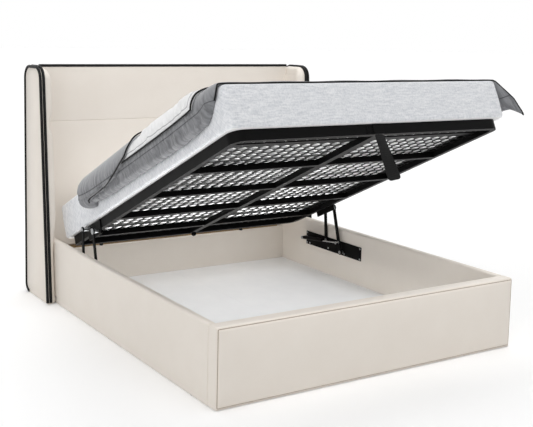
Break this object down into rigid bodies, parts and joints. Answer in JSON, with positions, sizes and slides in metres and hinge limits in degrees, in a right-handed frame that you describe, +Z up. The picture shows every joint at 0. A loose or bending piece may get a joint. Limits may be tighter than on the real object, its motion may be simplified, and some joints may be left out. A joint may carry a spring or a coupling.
{
  "type": "lift-up storage bed",
  "caption": "Upholstered double bed with winged headboard, shown open: a steel mesh platform with mattress and bedding on lift arms over a storage box.",
  "frame": {"origin": "on the floor under the middle of the bed, half way between the foot's face and the headboard's back", "axes": "+X across the bed, +Y towards the headboard, +Z up"},
  "size_m": [1.848, 2.2283, 1.368],
  "materials": {
    "upholstery": "matt cream",
    "upholstery_panel": "cream cloth on board",
    "board": "raw",
    "floor_white": "white laminate",
    "piping": "matt black",
    "glide": "matt",
    "black_steel": "satin black",
    "zinc_steel": "zinc plated",
    "rod_chrome": "polished",
    "buffer_rubber": "matt",
    "strap_web": "woven black",
    "mattress_fabric": "heathered linen",
    "comforter_fabric": "soft grey",
    "quilt_fabric": "soft white"
  },
  "bodies": {
    "base": {"left_rail_board": "board", "left_rail_cover": "upholstery", "right_rail_board": "board", "right_rail_cover": "upholstery", "foot_board": "board", "foot_cover": "upholstery", "foot_pad": "upholstery", "head_panel": "upholstery_panel", "floor_battens": "board", "floor_beam": "board", "left_floor_panel": "floor_white", "right_floor_panel": "floor_white", "glides": "glide", "headboard_core": "board", "headboard_lower_pad": "upholstery", "headboard_upper_pad": "upholstery", "headboard_back_cover": "upholstery", "headboard_top_piping": "piping", "left_wing_core": "board", "left_wing_cover": "upholstery", "left_wing_piping": "piping", "right_wing_core": "board", "right_wing_cover": "upholstery", "right_wing_piping": "piping", "corner_angles": "zinc_steel", "corner_bolts": "zinc_steel", "left_base_plate": "black_steel", "right_base_plate": "black_steel", "plate_screws": "zinc_steel", "base_pivot_pins": "zinc_steel", "foot_rests": "black_steel", "rest_buffers": "buffer_rubber"},
    "rear_arms": {"left_rear_arm": "black_steel", "right_rear_arm": "black_steel"},
    "front_arms": {"left_front_arm": "black_steel", "right_front_arm": "black_steel", "strut_pins": "zinc_steel"},
    "strut_cylinders": {"left_strut_cylinder": "black_steel", "right_strut_cylinder": "black_steel"},
    "strut_rods": {"left_strut_rod": "rod_chrome", "right_strut_rod": "rod_chrome"},
    "platform": {"left_side_tube": "black_steel", "right_side_tube": "black_steel", "platform_head_tube": "black_steel", "platform_foot_tube": "black_steel", "rim_corners": "black_steel", "centre_beam": "black_steel", "cross_bars": "black_steel", "beam_lug": "black_steel", "left_mesh": "black_steel", "right_mesh": "black_steel", "left_lift_bracket": "black_steel", "right_lift_bracket": "black_steel", "platform_pivot_pins": "zinc_steel", "strap_clip": "black_steel", "mattress": "mattress_fabric", "comforter": "comforter_fabric", "white_quilt": "quilt_fabric"},
    "pull_strap": {"pull_strap": "strap_web"}
  },
  "joints": [
    {"name": "rear_arm_swing", "type": "hinge", "parent": "base", "child": "rear_arms", "pos_m": [0, 0.4458, 0.262], "axis": [1, 0, 0], "range_deg": [-74.92, 0], "stiffness_Nm_per_rad": 1700, "springref_deg": 8.94},
    {"name": "platform_tilt", "type": "hinge", "parent": "rear_arms", "child": "platform", "pos_m": [0, 0.4647, 0.4782], "axis": [1, 0, 0], "range_deg": [0, 99.29]},
    {"name": "front_arm_swing", "type": "hinge", "parent": "base", "child": "front_arms", "pos_m": [0, 0.2792, 0.216], "axis": [1, 0, 0], "range_deg": [-64.24, 0]},
    {"name": "strut_cylinder_swing", "type": "hinge", "parent": "base", "child": "strut_cylinders", "pos_m": [0, 0.6585, 0.24], "axis": [1, 0, 0], "range_deg": [0, 7.94]},
    {"name": "strut_rod_swing", "type": "hinge", "parent": "front_arms", "child": "strut_rods", "pos_m": [0, 0.29627, 0.2756], "axis": [1, 0, 0], "range_deg": [0, 72.18]},
    {"name": "strap_swing", "type": "hinge", "parent": "platform", "child": "pull_strap", "pos_m": [0, -1.0401, 1.12595], "axis": [1, 0, 0], "range_deg": [0, 11.25]}
  ],
  "couplings": [
    {"joint": "platform_tilt", "follows": "rear_arm_swing", "ratio": -1.3252},
    {"joint": "front_arm_swing", "follows": "rear_arm_swing", "ratio": 0.85741},
    {"joint": "strut_cylinder_swing", "follows": "rear_arm_swing", "ratio": -0.10585},
    {"joint": "strut_rod_swing", "follows": "rear_arm_swing", "ratio": -0.96325},
    {"joint": "strap_swing", "follows": "rear_arm_swing", "ratio": -0.15}
  ]
}
